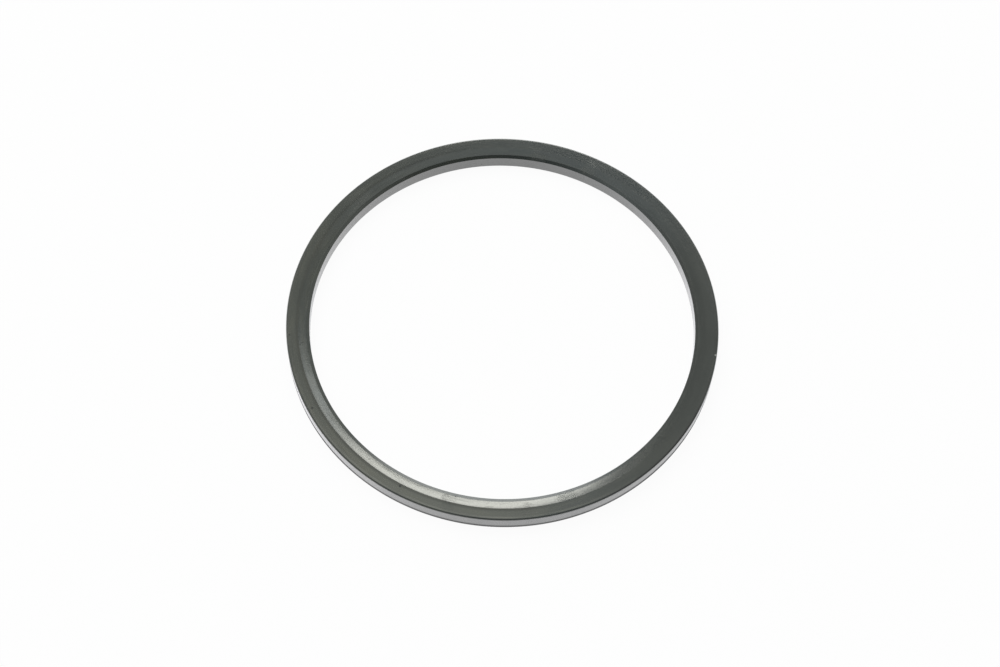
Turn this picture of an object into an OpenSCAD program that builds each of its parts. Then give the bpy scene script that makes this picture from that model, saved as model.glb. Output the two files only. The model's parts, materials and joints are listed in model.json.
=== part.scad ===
// Rectangular-section o-ring: one closed moulded ring that lies flat on its plain lower face.
// Seen in section it has straight inner and outer walls, a flat upper sealing face next to the outer wall
// and a shallow crowned lip that falls from that face to a bevelled mouth at the bore.
// Millimetres. The ring's axis is Z and the origin is its centre, on the plane of the lower face.

/* [Ring] */
// Inside diameter, across the straight bore wall
bore_d = 50; // [30:0.5:120]
// Radial width of the section, from the bore wall to the outer wall
section_w = 3; // [2.2:0.1:8]
// Axial height of the section, from the lower face to the upper face
section_h = 2.4; // [1.5:0.1:8]

/* [Lip] */
// Radial width of the lip and its mouth, from the bore wall to the crease where the flat upper face begins
lip_w = 1.45; // [1:0.05:2.2]
// Slope of the lip at the crease, in degrees below the upper face
lip_slope = 12; // [4:0.5:16]
// Radius of the lip's crowned face, which grows steeper towards the mouth
lip_crown_r = 30; // [10:1:60]
// Radial width of the bevelled mouth between the lip and the bore wall
mouth_w = 0.45; // [0.2:0.05:0.55]
// Height of the bevelled mouth
mouth_h = 0.17; // [0.15:0.01:0.5]

/* [Edges] */
// Radius of the edge between the upper face and the outer wall
rim_r = 0.2; // [0.05:0.05:0.6]
// Radius of the two edges of the lower face
foot_r = 0.2; // [0.05:0.05:0.5]

/* [Hidden] */

// Sides of a full circle
round_steps = 240;

bore_r = bore_d / 2;
outer_r = bore_r + section_w;

// Places in the section are [radius, height]
crease = [bore_r + lip_w, section_h];
crown = crease + lip_crown_r * [sin(lip_slope), -cos(lip_slope)];

// The mouth's bevel starts on the crowned face and falls to the bore wall
mouth_top_z = crown[1] + sqrt(pow(lip_crown_r, 2) - pow(crown[0] - bore_r - mouth_w, 2));
mouth_foot = [bore_r, mouth_top_z - mouth_h];
// Drawn on upwards, the bevel would reach the upper face here
bevel_end = [bore_r + mouth_w * (section_h - mouth_foot[1]) / mouth_h, section_h];

// What a rounding takes off a right corner at the origin, with the corner's sides along +X and +Y
module corner_waste(radius) {
    difference() {
        square(radius);
        translate([radius, radius])
            circle(radius, $fn = round_steps);
    }
}

// What the lip takes off the upper face: all that lies above its crowned face, as far as the crease
module lip_waste() {
    difference() {
        translate([bore_r, 0])
            square([lip_w, section_h + lip_w]);
        translate(crown)
            circle(lip_crown_r, $fn = round_steps);
    }
}

// Half section of the ring
module ring_section() {
    difference() {
        polygon([[bore_r, 0], [outer_r, 0], [outer_r, section_h], bevel_end, mouth_foot]);
        lip_waste();
        translate([bore_r, 0])
            corner_waste(foot_r);
        translate([outer_r, 0])
            mirror([1, 0])
                corner_waste(foot_r);
        translate([outer_r, section_h])
            rotate(180)
                corner_waste(rim_r);
    }
}

module seal_ring() {
    color([0.31, 0.32, 0.31])
        rotate_extrude($fn = round_steps)
            ring_section();
}

seal_ring();
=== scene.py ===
"""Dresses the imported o-ring as a dark satin rubber ring that lies on a white studio floor."""

import json
import logging
import math
from dataclasses import dataclass
from enum import Enum
from functools import reduce
from typing import ClassVar, Mapping

import bmesh
import bpy
from mathutils import Matrix, Quaternion, Vector


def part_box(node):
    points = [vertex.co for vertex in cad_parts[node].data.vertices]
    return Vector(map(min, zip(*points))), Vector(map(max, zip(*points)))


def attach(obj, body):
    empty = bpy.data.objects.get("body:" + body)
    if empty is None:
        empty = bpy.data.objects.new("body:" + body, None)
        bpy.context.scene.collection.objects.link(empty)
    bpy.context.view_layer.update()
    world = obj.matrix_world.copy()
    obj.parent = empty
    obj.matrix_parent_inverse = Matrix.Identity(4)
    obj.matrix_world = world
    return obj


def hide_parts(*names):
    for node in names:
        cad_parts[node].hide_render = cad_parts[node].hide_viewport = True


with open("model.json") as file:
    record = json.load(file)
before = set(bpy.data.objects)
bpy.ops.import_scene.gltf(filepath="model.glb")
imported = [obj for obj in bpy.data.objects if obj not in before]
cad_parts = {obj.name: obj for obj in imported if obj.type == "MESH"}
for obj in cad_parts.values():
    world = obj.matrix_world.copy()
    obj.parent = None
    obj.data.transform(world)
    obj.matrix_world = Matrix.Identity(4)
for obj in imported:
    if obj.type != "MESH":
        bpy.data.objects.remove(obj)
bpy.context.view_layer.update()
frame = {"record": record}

MM = 0.001
LOG = logging.getLogger("seal_ring")

Point = tuple[float, float, float]
# Where a soft step is 0, and where it is 1
Span = tuple[float, float]
Colour = tuple[float, float, float, float]
WHITE: Colour = (1.0, 1.0, 1.0, 1.0)
NOISE_MIDDLE = 0.5


class Op(Enum):
    """Math node operations that the overloaded operators use."""

    ADD = "ADD"
    SUBTRACT = "SUBTRACT"
    MULTIPLY = "MULTIPLY"
    DIVIDE = "DIVIDE"
    POWER = "POWER"
    MAXIMUM = "MAXIMUM"
    ABSOLUTE = "ABSOLUTE"


class Node(Enum):
    """Shader nodes that the rubber, the floor and the sky are made of."""

    BACKGROUND = "ShaderNodeBackground"
    BUMP = "ShaderNodeBump"
    COMBINE = "ShaderNodeCombineXYZ"
    COORDINATES = "ShaderNodeTexCoord"
    DIFFUSE = "ShaderNodeBsdfDiffuse"
    EMISSION = "ShaderNodeEmission"
    LIGHT_PATH = "ShaderNodeLightPath"
    MAP_RANGE = "ShaderNodeMapRange"
    MATERIAL_OUTPUT = "ShaderNodeOutputMaterial"
    MATH = "ShaderNodeMath"
    MIX = "ShaderNodeMix"
    MIX_SHADER = "ShaderNodeMixShader"
    NOISE = "ShaderNodeTexNoise"
    PRINCIPLED = "ShaderNodeBsdfPrincipled"
    SEPARATE = "ShaderNodeSeparateXYZ"
    TURN = "ShaderNodeVectorRotate"
    VECTOR = "ShaderNodeVectorMath"
    VORONOI = "ShaderNodeTexVoronoi"
    WORLD_OUTPUT = "ShaderNodeOutputWorld"


class Socket:
    """A node's output that takes part in Python arithmetic."""

    def __init__(self, board: "Board", output: bpy.types.NodeSocket) -> None:
        """Keeps the output and the board that it belongs to.

        Args:
            board: The board on which new Math nodes are placed.
            output: The node output that this value stands for.
        """
        self.board = board
        self.output = output

    def _math(self, op: Op, *operands: "Socket | float") -> "Socket":
        """Adds one Math node.

        Args:
            op: The operation.
            operands: What it works on, in order.

        Returns:
            The node's result.
        """
        return self.board.add(Node.MATH, {"operation": op.value}, dict(enumerate(operands)))

    def __add__(self, other: "Socket | float") -> "Socket":
        """Sum."""
        return self._math(Op.ADD, self, other)

    def __radd__(self, other: float) -> "Socket":
        """Sum with a number on the left."""
        return self._math(Op.ADD, other, self)

    def __sub__(self, other: "Socket | float") -> "Socket":
        """Difference."""
        return self._math(Op.SUBTRACT, self, other)

    def __rsub__(self, other: float) -> "Socket":
        """Difference from a number on the left."""
        return self._math(Op.SUBTRACT, other, self)

    def __mul__(self, other: "Socket | float") -> "Socket":
        """Product."""
        return self._math(Op.MULTIPLY, self, other)

    def __rmul__(self, other: float) -> "Socket":
        """Product with a number on the left."""
        return self._math(Op.MULTIPLY, other, self)

    def __truediv__(self, other: "Socket | float") -> "Socket":
        """Quotient."""
        return self._math(Op.DIVIDE, self, other)

    def __rtruediv__(self, other: float) -> "Socket":
        """Quotient of a number on the left."""
        return self._math(Op.DIVIDE, other, self)

    def __pow__(self, other: float) -> "Socket":
        """Power."""
        return self._math(Op.POWER, self, other)

    def __abs__(self) -> "Socket":
        """Size without sign."""
        return self._math(Op.ABSOLUTE, self)

    def at_least(self, other: "Socket | float") -> "Socket":
        """Compares two values.

        Args:
            other: The value that the result never falls below.

        Returns:
            The larger of the two.
        """
        return self._math(Op.MAXIMUM, self, other)

    def step(self, low: float, high: float) -> "Socket":
        """Smooth step over a range of this value.

        Args:
            low: Where the result is 0.
            high: Where the result is 1; it may lie below low.

        Returns:
            The step, from 0 to 1.
        """
        if low > high:
            return 1 - self.step(high, low)
        return self.board.add(
            Node.MAP_RANGE,
            {"interpolation_type": "SMOOTHSTEP", "clamp": True},
            {"Value": self, "From Min": low, "From Max": high},
        )

    def band(self, middle: float, half: float) -> "Socket":
        """Soft band around one value.

        Args:
            middle: Where the result is 1.
            half: How far from there it has fallen to 0.

        Returns:
            The band, from 0 to 1.
        """
        return abs(self - middle).step(half, 0.0)


class Board:
    """Places nodes in one node tree and links them."""

    def __init__(self, tree: bpy.types.NodeTree) -> None:
        """Clears the tree.

        Args:
            tree: The node tree of a material or of the world.
        """
        self.tree = tree
        tree.nodes.clear()

    def add(
        self,
        kind: Node,
        settings: Mapping[str, object] | None = None,
        sockets: Mapping[str | int, object] | None = None,
        result: str | int = 0,
    ) -> Socket:
        """Adds one node.

        Args:
            kind: The node's type.
            settings: The node's own properties, set first.
            sockets: Values or links of its inputs, by name or number.
            result: The output that is handed back, by name or number.

        Returns:
            The chosen output.
        """
        node = self.tree.nodes.new(kind.value)
        for name, setting in (settings or {}).items():
            setattr(node, name, setting)
        for key, given in (sockets or {}).items():
            self._feed(self._pick(node.inputs, key), given)
        return Socket(self, self._pick(node.outputs, result))

    def finish(self, kind: Node, shader: Socket) -> None:
        """Links a shader to a new output node.

        Args:
            kind: The output node's type.
            shader: What it shows.
        """
        node = self.tree.nodes.new(kind.value)
        self.tree.links.new(shader.output, node.inputs["Surface"])

    def mix(self, factor: "Socket | float", first: object, second: object) -> Socket:
        """Mixes two colours.

        Args:
            factor: 0 gives the first colour and 1 the second.
            first: A colour or a link.
            second: A colour or a link.

        Returns:
            The mixed colour.
        """
        return self.add(
            Node.MIX, {"data_type": "RGBA"}, {"Factor": factor, "A": first, "B": second}, "Result"
        )

    def noise(self, place: Socket, scale: float, detail: float, roughness: float = 0.5) -> Socket:
        """Cloudy noise, from 0 to 1.

        Args:
            place: Where it is read.
            scale: How many clouds there are to one unit of place.
            detail: How many finer layers lie on the first.
            roughness: How strong each finer layer is.

        Returns:
            The noise.
        """
        return self.add(
            Node.NOISE, {},
            {"Vector": place, "Scale": scale, "Detail": detail, "Roughness": roughness},
        )

    @staticmethod
    def _pick(sockets: bpy.types.bpy_prop_collection, key: str | int) -> bpy.types.NodeSocket:
        """Finds a node's socket.

        Args:
            sockets: The node's inputs or outputs.
            key: The socket's number, or its name among those that the node's settings leave in use.

        Returns:
            The socket.
        """
        if isinstance(key, int):
            return sockets[key]
        return next(one for one in sockets if one.name == key and one.enabled)

    def _feed(self, target: bpy.types.NodeSocket, given: object) -> None:
        """Links a value to an input, or writes it there where it is a plain one.

        Args:
            target: The input.
            given: A socket, or a plain value.
        """
        if isinstance(given, Socket):
            self.tree.links.new(given.output, target)
        else:
            target.default_value = given


@dataclass(frozen=True)
class RingSizes:
    """Sizes of the ring's section.

    Attributes:
        bore_radius: Radius of the straight bore wall.
        outer_radius: Radius of the straight outer wall.
        height: Height of the flat upper face above the floor.
        lip_width: Radial width of the lip and its mouth, from the bore wall to the crease.
        lip_slope: Slope of the lip at the crease, in radians below the upper face.
        lip_crown: Radius of the lip's crowned face, which grows steeper towards the mouth.
        mouth_width: Radial width of the bevelled mouth.
        mouth_height: Height of the bevelled mouth.
        rim_radius: Radius of the edge between the upper face and the outer wall.
        foot_radius: Radius of the edges of the lower face.
        crease_radius: Radius that softens the crease.
        mouth_radius: Radius that softens the edges of the mouth.
        bend_share: Share of the lip that is drawn as an arc, which leaves room for the edges beside it.
    """

    bore_radius: float
    outer_radius: float
    height: float
    lip_width: float = 1.45 * MM
    lip_slope: float = math.radians(12.0)
    lip_crown: float = 30.0 * MM
    mouth_width: float = 0.45 * MM
    mouth_height: float = 0.17 * MM
    rim_radius: float = 0.20 * MM
    foot_radius: float = 0.20 * MM
    crease_radius: float = 0.08 * MM
    mouth_radius: float = 0.06 * MM
    bend_share: float = 0.9

    @property
    def crease(self) -> float:
        """Radius of the crease."""
        return self.bore_radius + self.lip_width

    @property
    def mouth_edge(self) -> float:
        """Radius of the upper edge of the mouth, where the lip ends."""
        return self.bore_radius + self.mouth_width

    @property
    def lip_half(self) -> float:
        """Half the radial width of the lip without its mouth."""
        return (self.crease - self.mouth_edge) / 2

    @property
    def lip_end_slope(self) -> float:
        """Slope of the lip at the mouth, in radians."""
        return math.asin(math.sin(self.lip_slope) + 2 * self.lip_half / self.lip_crown)

    @property
    def lip_middle(self) -> float:
        """Height at which the tangents of the lip's two ends meet, half way across it."""
        return self.height - self.lip_half * math.tan(self.lip_slope)

    @property
    def lip_bend(self) -> float:
        """Radius of the arc that joins those two tangents."""
        turn = self.lip_end_slope - self.lip_slope
        return self.bend_share * self.lip_half / math.tan(turn / 2)

    @property
    def mouth_top(self) -> float:
        """Height of the upper edge of the mouth."""
        return self.lip_middle - self.lip_half * math.tan(self.lip_end_slope)


@dataclass(frozen=True)
class Place:
    """Where a point of the ring lies, as shader values.

    Attributes:
        board: The material's board.
        sizes: Sizes of the ring.
        point: Object coordinates.
        x: Place from left to right.
        y: Place from front to back.
        z: Height above the floor.
        radius: Distance from the ring's axis.
    """

    board: Board
    sizes: RingSizes
    point: Socket
    x: Socket
    y: Socket
    z: Socket
    radius: Socket

    DRAW_OUT: ClassVar[float] = 300.0

    @classmethod
    def on(cls, board: Board, sizes: RingSizes) -> "Place":
        """Reads the place from the ring's own coordinates.

        Args:
            board: The material's board.
            sizes: Sizes of the ring.

        Returns:
            The place.
        """
        point = board.add(Node.COORDINATES, result="Object")
        x, y, z = (board.add(Node.SEPARATE, {}, {0: point}, axis) for axis in "XYZ")
        return cls(board, sizes, point, x, y, z, (x * x + y * y) ** 0.5)

    def along(self, slant: float = 0.0) -> Socket:
        """Makes coordinates that follow the ring round, one unit to a radius of the ring.

        Args:
            slant: How far a line across the ring is turned along it, in radians to a metre.

        Returns:
            The direction from the axis in X and Y, and the radius, drawn out, in Z.
        """
        angle = self.radius * slant
        turned = self.board.add(
            Node.TURN, {"rotation_type": "Z_AXIS"}, {"Vector": self.point, "Angle": angle}
        )
        x, y = (self.board.add(Node.SEPARATE, {}, {0: turned}, axis) / self.radius for axis in "XY")
        return self.board.add(Node.COMBINE, {}, {0: x, 1: y, 2: self.radius * self.DRAW_OUT})


@dataclass(frozen=True)
class BloomAndLight:
    """A thin bloom in clouds and in streaks along the ring, with painted light that makes the left
    lighter and painted shade that makes the right and the back darker.

    Attributes:
        clouds: How many clouds there are to a metre.
        cloud_levels: Levels of the clouds' noise at which they begin and are full.
        cloud_cover: Share of the rubber that a cloud covers.
        streak_levels: Levels of the mottle at which the streaks begin and are full.
        streak_cover: Share that a streak covers.
        left: Where the left begins and is full.
        left_light: Share that is covered on the left besides, as painted light.
        right: Where the right begins and is full.
        back: Where the back begins and is full.
        right_and_back_shade: Share of the clouds and streaks that is taken off on the right and at the
            back, as painted shade.
    """

    clouds: float = 70.0
    cloud_levels: Span = (0.38, 0.66)
    cloud_cover: float = 0.2
    streak_levels: Span = (0.40, 0.70)
    streak_cover: float = 0.4
    left: Span = (12.0 * MM, -22.0 * MM)
    left_light: float = 0.5
    right: Span = (6.0 * MM, 22.0 * MM)
    back: Span = (2.0 * MM, 22.0 * MM)
    right_and_back_shade: float = 0.6

    def draw(self, place: Place, mottle: Socket) -> Socket:
        """Draws the bloom with its painted light and shade.

        Args:
            place: The place on the ring.
            mottle: Cloudy noise that follows the ring round.

        Returns:
            How much of the rubber it covers, painted light and shade included.
        """
        clouds = place.board.noise(place.point, self.clouds, detail=2.0).step(*self.cloud_levels)
        streaks = mottle.step(*self.streak_levels)
        left, right = place.x.step(*self.left), place.x.step(*self.right)
        back = place.y.step(*self.back)
        patches = clouds * self.cloud_cover + streaks * self.streak_cover
        # The left share is painted light; taking clouds and streaks off on the right and at the back is
        # painted shade.
        return patches * (1 - back * self.right_and_back_shade) * (1 - right * self.right_and_back_shade) + left * self.left_light


@dataclass(frozen=True)
class OilFilm:
    """A thin oily film on the right, which ends before the back.

    Attributes:
        right: Where the right begins and is full.
        back: Where the film has ended and is full, towards the back.
        cover: Share of the rubber that it covers.
    """

    right: Span = (8.0 * MM, 22.0 * MM)
    back: Span = (22.0 * MM, 8.0 * MM)
    cover: float = 0.8

    def draw(self, place: Place) -> Socket:
        """Draws the film.

        Args:
            place: The place on the ring.

        Returns:
            How much of the rubber it covers.
        """
        return place.x.step(*self.right) * place.y.step(*self.back) * self.cover


@dataclass(frozen=True)
class CreaseShade:
    """A dull band beside the crease, on the left and most of all at the front.

    Attributes:
        offset: How far outside the crease its middle lies.
        half: Half its width.
        left: Where the left begins and is full.
        lean: How far those ends are turned, as a slope from front to back.
        front: Where the front begins and is full.
        darkness: How dark and matt the painted shade is on the left.
        front_darkness: How much darker and more matt it is at the front.
    """

    offset: float = 0.12 * MM
    half: float = 0.40 * MM
    left: Span = (6.0 * MM, -8.0 * MM)
    lean: float = 0.3
    front: Span = (-4.0 * MM, -22.0 * MM)
    darkness: float = 0.9
    front_darkness: float = 0.4

    def draw(self, place: Place) -> Socket:
        """Draws the band.

        Args:
            place: The place on the ring.

        Returns:
            How much the painted shade darkens the rubber and takes off its gloss, 0 away from the band.
        """
        # Painted shade beside the crease, on the left and at the front.
        band = place.radius.band(place.sizes.crease + self.offset, self.half)
        left = (place.x + place.y * self.lean).step(*self.left)
        front = place.y.step(*self.front)
        return band * left * (self.darkness + front * self.front_darkness)


@dataclass(frozen=True)
class Scuffs:
    """Fine scratches in two directions, in loose groups, most of them across the lip.

    Attributes:
        slants: How far each direction is turned along the ring, in radians to a metre.
        cells: How many cells each direction has to a radius of the ring.
        edge: Distances from a cell's edge at which a scratch ends and is full.
        groups: How many groups there are to a metre.
        group_levels: Levels of the groups' noise at which they begin and are full.
        reach: How far they reach to both sides of the lip's middle, in widths of the lip.
        elsewhere: How strong they are away from the lip.
    """

    slants: tuple[float, float] = (16.0, -24.0)
    cells: tuple[float, float] = (24.0, 17.0)
    edge: Span = (0.07, 0.02)
    groups: float = 210.0
    group_levels: Span = (0.56, 0.70)
    reach: float = 0.6
    elsewhere: float = 0.25

    def draw(self, place: Place) -> Socket:
        """Draws the scratches.

        Args:
            place: The place on the ring.

        Returns:
            1 in a scratch and 0 elsewhere.
        """
        width = place.sizes.lip_width
        lip = place.radius.band(place.sizes.crease - width / 2, self.reach * width)
        groups = place.board.noise(place.point, self.groups, detail=1.0).step(*self.group_levels)
        lines = []
        for slant, cells in zip(self.slants, self.cells):
            edge = place.board.add(
                Node.VORONOI,
                {"feature": "DISTANCE_TO_EDGE"},
                {"Vector": place.along(slant), "Scale": cells},
            )
            lines.append(edge.step(*self.edge))
        strength = self.elsewhere + lip * (1 - self.elsewhere)
        return reduce(Socket.at_least, lines) * groups * strength


@dataclass(frozen=True)
class Smears:
    """Dull smears on the lip, thickest beside the mouth and on the left.

    Attributes:
        slant: How far they are turned along the ring, in radians to a metre.
        clouds: How many of them there are to a radius of the ring.
        levels: Levels of their noise at which they begin and are full.
        left: Where the left begins and is full.
        thickening: How much is added to the noise beside the mouth on the left.
        fade: Width over which they fade at the crease and at the mouth.
    """

    slant: float = 20.0
    clouds: float = 11.0
    levels: Span = (0.54, 0.74)
    left: Span = (2.0 * MM, -9.0 * MM)
    thickening: float = 0.10
    fade: float = 0.1 * MM

    def draw(self, place: Place) -> Socket:
        """Draws the smears.

        Args:
            place: The place on the ring.

        Returns:
            1 in a smear and 0 elsewhere.
        """
        radius, crease, mouth_edge = place.radius, place.sizes.crease, place.sizes.mouth_edge
        lip = radius.step(crease, crease - self.fade) * radius.step(mouth_edge - self.fade, mouth_edge)
        thick = radius.step(crease, mouth_edge) * place.x.step(*self.left)
        clouds = place.board.noise(place.along(self.slant), self.clouds, detail=3.0, roughness=0.6)
        return (clouds + thick * self.thickening).step(*self.levels) * lip


@dataclass(frozen=True)
class Pits:
    """A few small pits, scattered in groups.

    Attributes:
        cells: How many places for a pit there are to a metre.
        edge: Distances from such a place at which a pit ends and is full, in cells.
        groups: How many groups there are to a metre.
        group_levels: Levels of the groups' noise at which they begin and are full.
    """

    cells: float = 620.0
    edge: Span = (0.10, 0.04)
    groups: float = 330.0
    group_levels: Span = (0.60, 0.66)

    def draw(self, place: Place) -> Socket:
        """Draws the pits.

        Args:
            place: The place on the ring.

        Returns:
            1 in a pit and 0 elsewhere.
        """
        away = place.board.add(Node.VORONOI, {}, {"Vector": place.point, "Scale": self.cells})
        groups = place.board.noise(place.point, self.groups, detail=0.0).step(*self.group_levels)
        return away.step(*self.edge) * groups


@dataclass(frozen=True)
class Spots:
    """Small round spots, each in its own place.

    Attributes:
        middles: Where they lie.
        edge: Distances from the middle at which a spot ends and is full.
    """

    middles: tuple[Point, ...]
    edge: Span = (0.20 * MM, 0.08 * MM)

    def draw(self, place: Place) -> Socket:
        """Draws the spots.

        Args:
            place: The place on the ring.

        Returns:
            1 in a spot and 0 elsewhere.
        """
        spots = []
        for middle in self.middles:
            away = place.board.add(
                Node.VECTOR, {"operation": "DISTANCE"}, {0: place.point, 1: middle}, "Value"
            )
            spots.append(away.step(*self.edge))
        return reduce(Socket.at_least, spots)


@dataclass(frozen=True)
class EdgeWearAndHighlight:
    """Rubbed edges of the upper side, on the mouth and the rim, and a painted highlight on the rim at
    the front.

    Attributes:
        depth: How far below the edge of the mouth the wear fades.
        mouth_half: Half the width of the wear on the mouth.
        mouth_wear: How strong it is there.
        rim_inset: How far inside the outer wall its middle lies, in radii of the rim.
        rim_half: Half the width of the wear on the rim.
        rim_wear: How strong it is all round the rim.
        front_highlight: How much the painted highlight adds on the rim at the front.
        front: Where the painted highlight begins and is full, towards the front.
        right: Where the painted highlight has ended and is full, towards the right.
        patch_levels: Levels of the mottle at which the patches of rubbing and of painted highlight
            begin and are full.
    """

    depth: float = 0.3 * MM
    mouth_half: float = 0.08 * MM
    mouth_wear: float = 0.5
    rim_inset: float = 1.75
    rim_half: float = 0.20 * MM
    rim_wear: float = 0.2
    front_highlight: float = 0.8
    front: Span = (-5.0 * MM, -24.0 * MM)
    right: Span = (20.0 * MM, 2.0 * MM)
    patch_levels: Span = (0.25, 0.60)

    def draw(self, place: Place, mottle: Socket) -> Socket:
        """Draws the rubbed edges and the painted highlight on the front rim.

        Args:
            place: The place on the ring.
            mottle: Cloudy noise that follows the ring round.

        Returns:
            1 on a rubbed edge and in the painted highlight, and 0 away from them.
        """
        sizes = place.sizes
        upper = place.z.step(sizes.mouth_top - self.depth, sizes.mouth_top)
        mouth = place.radius.band(sizes.mouth_edge, self.mouth_half) * self.mouth_wear
        rim = place.radius.band(sizes.outer_radius - self.rim_inset * sizes.rim_radius, self.rim_half)
        # Painted highlight on the rim at the front, left out on the right.
        highlit_front = place.y.step(*self.front) * place.x.step(*self.right)
        rim = rim * (self.rim_wear + highlit_front * self.front_highlight)
        return mouth.at_least(rim) * upper * mottle.step(*self.patch_levels)


@dataclass(frozen=True)
class FootShade:
    """A painted shade along the foot of the outer wall, darkest on the right and taller at the sides,
    with a thinner painted shade above it on the right.

    Attributes:
        skirt: Depths inside the outer wall at which the painted shade has ended and is full.
        rise: Heights at which the line has ended and is full.
        left: Where the left begins and is full.
        right: Where the right begins and is full.
        sides: Distances from the middle at which both sides begin and are full.
        left_rise: How much taller the line is on the left, as a share.
        right_rise: How much taller it is on the right, as a share.
        cover: Share of the wall that it covers at the front and at the back.
        side_cover: What is added to that share at the sides.
        right_shade_cover: Share of the wall that the painted shade above the line covers on the right.
    """

    skirt: Span = (0.4 * MM, 0.2 * MM)
    rise: Span = (0.84 * MM, 0.50 * MM)
    left: Span = (-6.0 * MM, -22.0 * MM)
    right: Span = (6.0 * MM, 22.0 * MM)
    sides: Span = (14.0 * MM, 24.0 * MM)
    left_rise: float = 0.1
    right_rise: float = 0.2
    cover: float = 0.62
    side_cover: float = 0.28
    right_shade_cover: float = 0.13

    def draw(self, place: Place) -> Socket:
        """Draws the painted shade along the foot and above it on the right.

        Args:
            place: The place on the ring.

        Returns:
            How much painted shade covers the rubber, 0 away from the outer wall.
        """
        # Painted shade: a dark line along the foot that is darkest on the right, and a thinner shade
        # above it on the right.
        wall = (place.sizes.outer_radius - place.radius).step(*self.skirt)
        left, right = place.x.step(*self.left), place.x.step(*self.right)
        sides = abs(place.x).step(*self.sides)
        sunk = place.z * (1 - left * self.left_rise - right * self.right_rise)
        line = sunk.step(*self.rise) * (self.cover + sides * self.side_cover)
        return wall * line.at_least(right * self.right_shade_cover)


@dataclass(frozen=True)
class Mark:
    """A texture or a kind of mark on the rubber, and what it changes at its full strength.

    Attributes:
        where: Its strength at each point.
        tint: Share of its own colour.
        skin: Change of the glossy skin, as a share of it.
        roughness: Change of roughness.
        height: Change of height, in steps of the bump.
    """

    where: Socket
    tint: float = 0.0
    skin: float = 0.0
    roughness: float = 0.0
    height: float = 0.0

    @property
    def shade(self) -> Socket:
        """How much of its own colour shows at each point."""
        return self.where * self.tint


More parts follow.
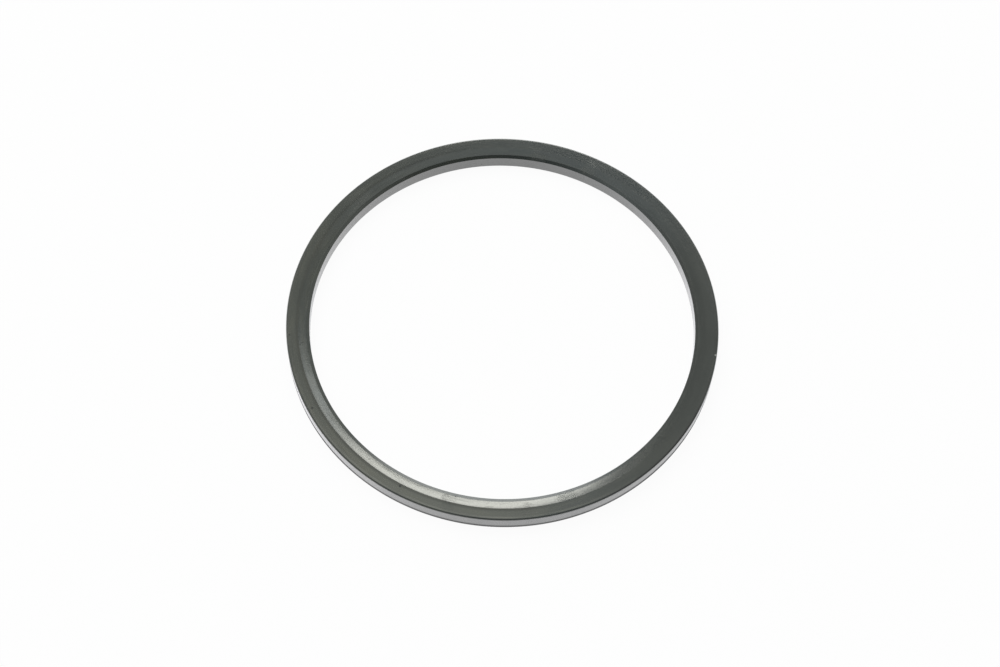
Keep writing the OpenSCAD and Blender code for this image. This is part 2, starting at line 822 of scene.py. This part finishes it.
@dataclass(frozen=True)
class RubberFinish:
    """Dark moulded rubber with a satin skin, a thin bloom, light handling marks, and painted light and
    shade: lighter on the left, a painted highlight on the front rim, and painted shade beside the
    crease and along the foot.

    Attributes:
        sizes: Sizes of the ring that wears it.
        slot: The record's material slot.
        body: Colour of the rubber itself.
        olive_and_light: Colour of the bloom, and of the painted light on the left.
        oil: Colour of the oily film.
        worn_and_highlight: Colour of rubbed edges and scuffs, and of the painted highlight on the front
            rim.
        grime_and_shade: Colour of the soiled pits, and of the painted shade along the foot and beside
            the crease.
        chipped: Colour of a nick in the rim.
        skin_index: Refractive index of the rubber and of its skin.
        gloss: Roughness of the skin.
        sheen: Strength of the dusty sheen that shows on surfaces seen at a slant.
        sheen_spread: Roughness of the sheen.
        sheen_tint: Colour of the sheen.
        bump_strength: How strongly the bump turns the light.
        bump_step: Height of one step of the bump.
        bloom_and_light: Where the bloom and its painted light and shade lie.
        film: Where the oily film lies.
        crease_shade: Where the painted shade beside the crease lies.
        scuffs: Where the scratches lie.
        smears: Where the smears on the lip lie.
        pits: Where the small pits lie.
        specks: Where the two larger pits in the upper face lie.
        nicks: Where the pale nick in the rim lies.
        wear_and_highlight: Where the edges are rubbed, and where the rim has a painted highlight at the
            front.
        foot_shade: Where the painted shade along the foot lies.
    """

    sizes: RingSizes
    slot: str = "black_rubber"
    body: Colour = (0.0205, 0.0262, 0.0262, 1.0)
    olive_and_light: Colour = (0.046, 0.0470, 0.033, 1.0)
    oil: Colour = (0.0235, 0.0245, 0.0185, 1.0)
    worn_and_highlight: Colour = (0.095, 0.096, 0.085, 1.0)
    grime_and_shade: Colour = (0.012, 0.012, 0.012, 1.0)
    chipped: Colour = (0.30, 0.30, 0.28, 1.0)
    skin_index: float = 1.75
    gloss: float = 0.17
    sheen: float = 0.8
    sheen_spread: float = 0.35
    sheen_tint: Colour = (0.96, 0.93, 1.0, 1.0)
    bump_strength: float = 0.15
    bump_step: float = 0.02 * MM
    bloom_and_light: BloomAndLight = BloomAndLight()
    film: OilFilm = OilFilm()
    crease_shade: CreaseShade = CreaseShade()
    scuffs: Scuffs = Scuffs()
    smears: Smears = Smears()
    pits: Pits = Pits()
    specks: Spots = Spots(((-23.51 * MM, -13.97 * MM, 2.4 * MM), (-11.74 * MM, -24.06 * MM, 2.4 * MM)))
    nicks: Spots = Spots(((27.55 * MM, -3.77 * MM, 2.36 * MM),))
    wear_and_highlight: EdgeWearAndHighlight = EdgeWearAndHighlight()
    foot_shade: FootShade = FootShade()

    def material(self) -> bpy.types.Material:
        """Makes the rubber's material.

        Returns:
            The new material.
        """
        material = bpy.data.materials.new(self.slot)
        material.use_nodes = True
        board = Board(material.node_tree)
        place = Place.on(board, self.sizes)
        rubber = self._rubber(place)
        # A dark matt shader mixed in along the foot of the outer wall as painted shade.
        painted_shade = board.add(Node.DIFFUSE, {}, {"Color": self.grime_and_shade})
        shader = board.add(Node.MIX_SHADER, {}, {0: self.foot_shade.draw(place), 1: rubber, 2: painted_shade})
        board.finish(Node.MATERIAL_OUTPUT, shader)
        return material

    def _rubber(self, place: Place) -> Socket:
        """Makes the rubber with its bloom, film, marks and painted light, without the painted shade at
        its foot.

        Args:
            place: The place on the ring.

        Returns:
            The shader.
        """
        board = place.board
        mottle = board.noise(place.along(), scale=6.0, detail=3.0, roughness=0.55)
        grain = board.noise(place.point, scale=5200.0, detail=2.0, roughness=0.6)
        holes = self.pits.draw(place).at_least(self.specks.draw(place))
        mottled = Mark(mottle - NOISE_MIDDLE, skin=0.3, roughness=0.12, height=1.5)
        grained = Mark(grain - NOISE_MIDDLE, roughness=0.04, height=0.06)
        scuffs = Mark(self.scuffs.draw(place), tint=0.6, skin=-0.45, roughness=0.15, height=-2.0)
        smears = Mark(self.smears.draw(place), skin=-0.4, roughness=0.06)
        pits = Mark(holes, tint=1.0, skin=-0.7, roughness=0.2, height=-3.0)
        shaded_crease = Mark(self.crease_shade.draw(place), tint=0.35, skin=-0.45)
        wear_and_highlight = Mark(self.wear_and_highlight.draw(place, mottle), tint=0.85)
        nicks = Mark(self.nicks.draw(place), tint=1.0)

        # The olive colour carries the bloom, the painted light on the left and the painted shade on the
        # right and at the back.
        colour = board.mix(self.bloom_and_light.draw(place, mottle), self.body, self.olive_and_light)
        colour = board.mix(self.film.draw(place), colour, self.oil)
        # The worn colour also paints a highlight on the rim at the front.
        colour = board.mix(wear_and_highlight.shade.at_least(scuffs.shade), colour, self.worn_and_highlight)
        # The grime colour fills the soiled pits and paints the shade beside the crease.
        colour = board.mix(pits.shade.at_least(shaded_crease.shade), colour, self.grime_and_shade)
        colour = board.mix(nicks.shade, colour, self.chipped)

        marks = (mottled, grained, scuffs, smears, pits, shaded_crease)
        skin = math.prod(1 + mark.where * mark.skin for mark in marks if mark.skin)
        roughness = sum((mark.where * mark.roughness for mark in marks if mark.roughness), self.gloss)
        height = sum(mark.where * mark.height for mark in marks if mark.height)
        normal = board.add(
            Node.BUMP, {},
            {"Height": height, "Strength": self.bump_strength, "Distance": self.bump_step},
        )
        return board.add(
            Node.PRINCIPLED,
            {},
            {
                "Base Color": colour,
                "Roughness": roughness,
                "IOR": self.skin_index,
                "Coat Weight": skin,
                "Coat IOR": self.skin_index,
                "Coat Roughness": self.gloss,
                "Sheen Weight": self.sheen,
                "Sheen Roughness": self.sheen_spread,
                "Sheen Tint": self.sheen_tint,
                "Normal": normal,
            },
        )


@dataclass(frozen=True)
class Corner:
    """One rounded corner of the ring's section.

    Attributes:
        radius: Distance from the axis at which its two sides would meet.
        height: Height at which they would meet.
        rounding: Radius of the arc that joins them.
    """

    radius: float
    height: float
    rounding: float

    @property
    def place(self) -> Vector:
        """Where the sides would meet, in the XZ plane."""
        return Vector((self.radius, 0.0, self.height))


@dataclass(frozen=True)
class SealRing:
    """The ring: one closed moulding of rectangular section with a lip at the bore.

    Attributes:
        sizes: Sizes of its section.
        turn_steps: Strokes in one turn of the ring.
        edge_steps: Strokes in each rounded edge.
        guard: Length of the short strokes beside an edge, which keep the sides' shading flat.
        weld: Distance within which doubled vertices are merged.
    """

    sizes: RingSizes
    turn_steps: int = 480
    edge_steps: int = 6
    guard: float = 0.02 * MM
    weld: float = 0.0005 * MM

    NAME: ClassVar[str] = "seal_ring_skin"
    NODE: ClassVar[str] = "seal_ring"

    def build(self) -> bpy.types.Object:
        """Makes the ring and puts it in the CAD node's place.

        Returns:
            The ring's object.
        """
        shape = bmesh.new()
        self._draw_section(shape)
        bmesh.ops.spin(
            shape, geom=[*shape.verts, *shape.edges], cent=(0, 0, 0), axis=(0, 0, 1),
            angle=math.tau, steps=self.turn_steps, use_merge=True,
        )
        bmesh.ops.remove_doubles(shape, verts=shape.verts, dist=self.weld)
        bmesh.ops.recalc_face_normals(shape, faces=shape.faces)
        mesh = bpy.data.meshes.new(self.NAME)
        shape.to_mesh(mesh)
        shape.free()
        mesh.shade_smooth()
        ring = bpy.data.objects.new(self.NAME, mesh)
        bpy.context.scene.collection.objects.link(ring)
        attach(ring, "root")
        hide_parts(self.NODE)
        return ring

    @staticmethod
    def dress(ring: bpy.types.Object, finish: RubberFinish) -> None:
        """Gives the ring its finish.

        Args:
            ring: The ring's object.
            finish: The rubber that it is made of.
        """
        ring.data.materials.append(finish.material())

    def _corners(self) -> list[Corner]:
        """Lists the section's corners.

        Returns:
            The corners, anticlockwise from the foot of the bore wall.
        """
        sizes = self.sizes
        mouth_foot = sizes.mouth_top - sizes.mouth_height
        return [
            Corner(sizes.bore_radius, 0.0, sizes.foot_radius),
            Corner(sizes.outer_radius, 0.0, sizes.foot_radius),
            Corner(sizes.outer_radius, sizes.height, sizes.rim_radius),
            Corner(sizes.crease, sizes.height, sizes.crease_radius),
            Corner(sizes.crease - sizes.lip_half, sizes.lip_middle, sizes.lip_bend),
            Corner(sizes.mouth_edge, sizes.mouth_top, sizes.mouth_radius),
            Corner(sizes.bore_radius, mouth_foot, sizes.mouth_radius),
        ]

    def _draw_section(self, shape: bmesh.types.BMesh) -> None:
        """Draws the closed section in the XZ plane, side by side and arc by arc.

        Args:
            shape: The mesh that the section is drawn in.
        """
        corners = self._corners()
        first = pen = None
        for index, corner in enumerate(corners):
            before, after = corners[index - 1], corners[(index + 1) % len(corners)]
            arrive = (corner.place - before.place).normalized()
            leave = (after.place - corner.place).normalized()
            turn = arrive.angle(leave)
            setback = corner.rounding * math.tan(turn / 2)
            start = corner.place - arrive * setback
            inward = Vector((-arrive.z, 0.0, arrive.x))
            if pen is None:
                first = pen = shape.verts.new(start - arrive * self.guard)
            else:
                pen = self._line(shape, pen, start - arrive * self.guard)
            pen = self._line(shape, pen, start)
            pen = self._arc(shape, pen, start + inward * corner.rounding, turn)
            pen = self._line(shape, pen, corner.place + leave * (setback + self.guard))
        shape.edges.new((pen, first))

    @staticmethod
    def _line(shape: bmesh.types.BMesh, pen: bmesh.types.BMVert, to: Vector) -> bmesh.types.BMVert:
        """Draws a straight stretch of the section.

        Args:
            shape: The mesh that the section is drawn in.
            pen: Where the stretch starts.
            to: Where it ends.

        Returns:
            The vertex at its end.
        """
        drawn = bmesh.ops.extrude_vert_indiv(shape, verts=[pen])["verts"][0]
        drawn.co = to
        return drawn

    def _arc(
        self, shape: bmesh.types.BMesh, pen: bmesh.types.BMVert, centre: Vector, turn: float
    ) -> bmesh.types.BMVert:
        """Draws a round stretch of the section, anticlockwise.

        Args:
            shape: The mesh that the section is drawn in.
            pen: Where the stretch starts.
            centre: Centre of the arc.
            turn: The angle that it covers, in radians.

        Returns:
            The vertex at its end.
        """
        drawn = bmesh.ops.spin(
            shape, geom=[pen], cent=centre, axis=(0, -1, 0), angle=turn, steps=self.edge_steps
        )
        return next(item for item in drawn["geom_last"] if isinstance(item, bmesh.types.BMVert))


@dataclass(frozen=True)
class Softbox:
    """A rectangular soft light that faces the ring.

    Attributes:
        name: The lamp's name.
        azimuth: Where it stands, in degrees from straight behind the ring towards the right.
        elevation: Its height above the floor's horizon, in degrees.
        distance: From the ring's centre.
        width: Its size from side to side.
        height: Its size from bottom to top.
        radiance: How bright its face is, where 1 is a white surface.
        slant: How far it is turned in its own plane, right side up, in degrees.
        colour: Tint of its light.
        in_gloss: Whether its face shows in glossy surfaces.
    """

    name: str
    azimuth: float
    elevation: float
    distance: float
    width: float
    height: float
    radiance: float
    slant: float = 0.0
    colour: tuple[float, float, float] = (1.0, 1.0, 1.0)
    in_gloss: bool = True

    def place(self) -> bpy.types.Object:
        """Makes the lamp.

        Returns:
            The lamp's object.
        """
        lamp = bpy.data.lights.new(self.name, "AREA")
        lamp.shape = "RECTANGLE"
        lamp.size = self.width
        lamp.size_y = self.height
        lamp.energy = self.radiance * math.pi * self.width * self.height
        lamp.color = self.colour
        stand = bpy.data.objects.new(self.name, lamp)
        bpy.context.scene.collection.objects.link(stand)
        turn, rise = math.radians(self.azimuth), math.radians(self.elevation)
        way = Vector(
            (math.sin(turn) * math.cos(rise), math.cos(turn) * math.cos(rise), math.sin(rise))
        )
        stand.location = way * self.distance
        slant = Quaternion((0.0, 0.0, 1.0), -math.radians(self.slant))
        stand.rotation_euler = (way.to_track_quat("Z", "Y") @ slant).to_euler()
        stand.visible_glossy = self.in_gloss
        return stand


@dataclass(frozen=True)
class Sky:
    """The room's soft light: pale above and behind the ring, dark on the camera's side.

    A direction is given by how far it leads to the right, to the back and up, each from -1 to 1.

    Attributes:
        colour: Tint of the light.
        front: Brightness on the camera's side.
        back: Brightness above and behind the ring.
        back_depths: Depths at which the room behind begins and is full.
        back_lean: How far those depths are turned, as a slope towards the right.
        top: How much brighter it is overhead.
        top_rises: Rises at which overhead begins and is full.
        right: How much brighter it is on the right.
        right_sides: How far to the right that begins and is full.
        backdrop: Brightness of the low white backdrop behind the ring.
        backdrop_rises: Rises at which the backdrop has ended and is full.
        backdrop_depths: Depths at which it begins and is full.
        low: Brightness of the lower room on the camera's side.
        low_rises: Rises at which the lower room has ended and is full.
        low_depths: Depths at which it begins and is full.
    """

    colour: Colour = (0.92, 1.0, 0.98, 1.0)
    front: float = 0.01
    back: float = 0.28
    back_depths: Span = (-0.12, 0.05)
    back_lean: float = 0.2
    top: float = 0.19
    top_rises: Span = (0.88, 0.96)
    right: float = 0.035
    right_sides: Span = (0.18, 0.36)
    backdrop: float = 0.9
    backdrop_rises: Span = (0.60, 0.40)
    backdrop_depths: Span = (0.0, 0.3)
    low: float = 0.25
    low_rises: Span = (0.93, 0.75)
    low_depths: Span = (-0.1, -0.4)

    def build(self) -> None:
        """Makes the room's light, which the camera itself sees as plain white."""
        world = bpy.data.worlds.new("studio_room")
        bpy.context.scene.world = world
        world.use_nodes = True
        board = Board(world.node_tree)
        way = board.add(Node.COORDINATES, result="Generated")
        side, depth, rise = (board.add(Node.SEPARATE, {}, {0: way}, axis) for axis in "XYZ")
        camera = board.add(Node.LIGHT_PATH, result="Is Camera Ray")
        pale = rise.step(*self.top_rises) * self.top + side.step(*self.right_sides) * self.right
        behind = (depth - side * self.back_lean).step(*self.back_depths)
        level = self.front + behind * (pale + (self.back - self.front))
        backdrop = rise.step(*self.backdrop_rises) * depth.step(*self.backdrop_depths)
        low = rise.step(*self.low_rises) * depth.step(*self.low_depths)
        level = level.at_least(backdrop * self.backdrop).at_least(low * self.low)
        colour = board.mix(camera, self.colour, WHITE)
        sky = board.add(
            Node.BACKGROUND, {}, {"Color": colour, "Strength": level.at_least(camera)}
        )
        board.finish(Node.WORLD_OUTPUT, sky)


@dataclass(frozen=True)
class Studio:
    """White floor, soft light and the camera.

    Attributes:
        floor_size: Side of the square floor.
        floor_glow: Share of the floor's white that no shadow takes away from the camera.
        gloss_glow: The same share, as the ring's gloss shows it.
        floor_white: How much of the light that falls on it the floor gives back.
        sky: The room's soft light.
        lens: Focal length of the camera, in millimetres of a 36 mm frame.
        camera_elevation: Height of the camera above the horizon, in radians.
        camera_distance: From the aim point to the camera.
        camera_roll: How far the camera is tipped anticlockwise, in radians.
        camera_near: Distance from the camera at which its picture starts.
        aim: The point that the camera looks at.
    """

    floor_size: float = 6.0
    floor_glow: float = 0.95
    gloss_glow: float = 0.93
    floor_white: float = 0.9
    sky: Sky = Sky()
    lens: float = 69.58
    camera_elevation: float = math.radians(62.18)
    camera_distance: float = 252 * MM
    camera_roll: float = math.radians(2.69)
    camera_near: float = 5 * MM
    aim: Point = (-0.271 * MM, -0.835 * MM, 0.0)

    SOFTBOXES: ClassVar[tuple[Softbox, ...]] = (
        Softbox(
            "back_softbox", azimuth=1.3, elevation=42.9, distance=1.0, width=0.355, height=0.138,
            radiance=4.7, slant=30.0, colour=(1.0, 1.0, 0.92),
        ),
        Softbox(
            "side_softbox", azimuth=20.0, elevation=49.8, distance=1.0, width=0.13, height=0.14,
            radiance=1.4, slant=25.0, colour=(0.94, 1.0, 0.98),
        ),
        Softbox(
            "low_softbox", azimuth=2.0, elevation=27.5, distance=1.0, width=0.48, height=0.15,
            radiance=0.95,
        ),
        Softbox(
            "top_softbox", azimuth=-4.6, elevation=66.7, distance=1.0, width=0.172, height=0.170,
            radiance=0.60, colour=(1.0, 0.985, 0.80),
        ),
        Softbox(
            "fill_softbox", azimuth=0.0, elevation=82.0, distance=1.5, width=1.5, height=1.5,
            radiance=0.8, in_gloss=False,
        ),
        Softbox(
            "key_softbox", azimuth=-50.0, elevation=52.0, distance=1.5, width=1.1, height=1.1,
            radiance=3.1, in_gloss=False,
        ),
    )

    def build(self) -> None:
        """Makes the floor, the light and the camera."""
        self._lay_floor()
        self.sky.build()
        for softbox in self.SOFTBOXES:
            LOG.info("lamp %s", softbox.place().name)
        self._set_camera()
        bpy.context.scene.view_settings.view_transform = "Standard"

    def _lay_floor(self) -> None:
        """Lays the white floor."""
        shape = bmesh.new()
        bmesh.ops.create_grid(shape, x_segments=1, y_segments=1, size=self.floor_size / 2)
        mesh = bpy.data.meshes.new("floor")
        shape.to_mesh(mesh)
        shape.free()
        floor = bpy.data.objects.new("floor", mesh)
        bpy.context.scene.collection.objects.link(floor)
        mesh.materials.append(self._floor_paint())

    def _floor_paint(self) -> bpy.types.Material:
        """Makes the floor's white paint, which looks white and still takes the ring's shadow.

        Returns:
            The new material.
        """
        material = bpy.data.materials.new("floor_paint")
        material.use_nodes = True
        board = Board(material.node_tree)
        camera, gloss, through = (
            board.add(Node.LIGHT_PATH, result=f"Is {ray} Ray")
            for ray in ("Camera", "Glossy", "Transmission")
        )
        share = (camera.at_least(through) * self.floor_glow).at_least(gloss * self.gloss_glow)
        paint = (self.floor_white, self.floor_white, self.floor_white, 1.0)
        matt = board.add(Node.DIFFUSE, {}, {"Color": paint})
        glow = board.add(Node.EMISSION, {}, {"Color": WHITE, "Strength": 1.0})
        shader = board.add(Node.MIX_SHADER, {}, {0: share, 1: matt, 2: glow})
        board.finish(Node.MATERIAL_OUTPUT, shader)
        return material

    def _set_camera(self) -> None:
        """Sets the camera at the photograph's viewing angle."""
        optics = bpy.data.cameras.new("camera")
        optics.lens = self.lens
        optics.clip_start = self.camera_near
        optics.clip_end = self.floor_size * 2
        camera = bpy.data.objects.new("camera", optics)
        bpy.context.scene.collection.objects.link(camera)
        rise = self.camera_elevation
        back = Vector((0.0, -math.cos(rise), math.sin(rise)))
        turn = (-back).to_track_quat("-Z", "Y").to_matrix().to_4x4()
        tip = Matrix.Rotation(self.camera_roll, 4, "Z")
        stand = Matrix.Translation(Vector(self.aim) + back * self.camera_distance)
        camera.matrix_world = stand @ turn @ tip
        bpy.context.scene.camera = camera


def mount_radius(name: str) -> float:
    """Reads a round mount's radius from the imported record.

    Args:
        name: The mount's name.

    Returns:
        Its radius in metres.
    """
    mounts = {mount["name"]: mount for mount in frame["record"]["mounts"]}
    return mounts[name]["dims"]["r_mm"] * MM


def main() -> None:
    """Builds the studio and the ring, and reports each piece."""
    logging.basicConfig(level=logging.INFO, format="%(name)s: %(message)s")
    Studio().build()
    sizes = RingSizes(
        bore_radius=mount_radius("bore_wall"),
        outer_radius=mount_radius("outer_wall"),
        height=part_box(SealRing.NODE)[1].z,
    )
    maker = SealRing(sizes)
    ring = maker.build()
    maker.dress(ring, RubberFinish(sizes))
    LOG.info("piece %s, %d faces", ring.name, len(ring.data.polygons))


if __name__ == "__main__":
    main()
